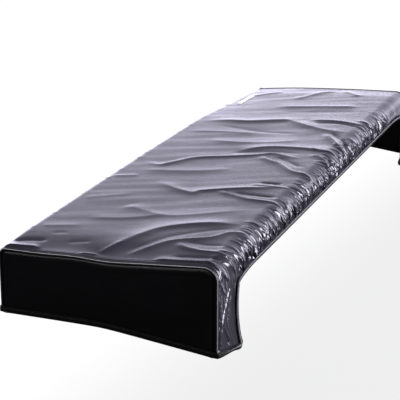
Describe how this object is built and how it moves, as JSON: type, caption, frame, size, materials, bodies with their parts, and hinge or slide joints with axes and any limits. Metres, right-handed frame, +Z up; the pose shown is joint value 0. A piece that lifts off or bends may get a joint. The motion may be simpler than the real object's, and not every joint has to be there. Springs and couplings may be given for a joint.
{
  "type": "padded keyboard cover",
  "caption": "Fitted padded nylon dust cover for a long keyboard instrument, open below, with corner tabs, black ends, corded end seams and a gathered, tape-bound hem.",
  "frame": {"origin": "under the middle of the top, on the level that the top's underside bears on", "axes": "+X along the cover towards the near end, +Y towards the rear edge, +Z up"},
  "size_m": [1.3726, 0.428, 0.1877],
  "materials": {
    "main_cloth": "satin nylon, lightly padded",
    "end_cloth": "dull black nylon",
    "piping_cloth": "black cord, slightly shiny",
    "tape": "black ribbed tape",
    "label_cloth": "smooth white strip"
  },
  "bodies": {
    "root": {"main_panel": "main_cloth", "end_panel_near": "end_cloth", "end_panel_far": "end_cloth", "piping_near": "piping_cloth", "piping_far": "piping_cloth", "hem_binding": "tape", "label": "label_cloth"}
  },
  "joints": []
}
